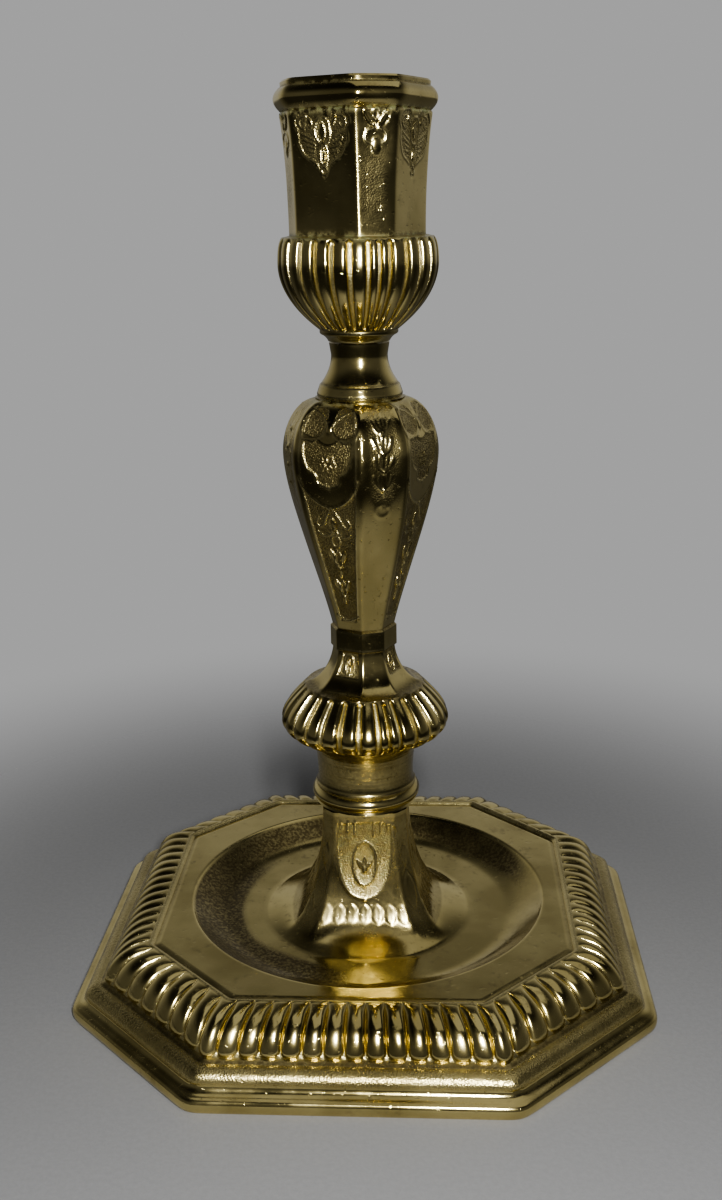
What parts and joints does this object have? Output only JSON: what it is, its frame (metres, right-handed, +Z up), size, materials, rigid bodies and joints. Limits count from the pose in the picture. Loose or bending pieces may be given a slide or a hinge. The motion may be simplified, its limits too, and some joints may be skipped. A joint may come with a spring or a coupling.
{
  "type": "candlestick",
  "caption": "Octagonal brass candlestick: gadrooned foot with a wax well, knopped, faceted baluster stem that unscrews, and a flared candle socket on a gadrooned bowl.",
  "frame": {"origin": "on the candlestick's axis, at the level that the foot stands on", "axes": "+Z up along the stem; a long side of the foot faces -Y and another faces +X"},
  "size_m": [0.13, 0.13, 0.1975],
  "materials": {
    "foot_brass": "aged cast brass, polished on the panel, sandy on the outer mouldings, tarnish in the grooves",
    "stem_brass": "aged polished brass with chased ornament on a dark stippled ground",
    "socket_brass": "aged polished brass with chased pendants, fine scratches and a trace of verdigris",
    "plain_brass": "turned brass, unpolished"
  },
  "bodies": {
    "foot": {"foot": "foot_brass"},
    "screw": {"stem_screw": "plain_brass"},
    "stem": {"stem_left_half": "stem_brass", "stem_right_half": "stem_brass", "socket_left_half": "socket_brass", "socket_right_half": "socket_brass", "socket_peg": "plain_brass"}
  },
  "joints": [
    {"name": "stem_rise", "type": "slide", "parent": "foot", "child": "screw", "axis": [0, 0, 1], "range_m": [0, 0.009]},
    {"name": "stem_turn", "type": "hinge", "parent": "screw", "child": "stem", "pos_m": [0, 0, 0.0398], "axis": [0, 0, 1], "range_deg": [0, 1620]}
  ],
  "couplings": [
    {"joint": "stem_turn", "follows": "stem_rise", "rad_per_m": 3141.6}
  ]
}
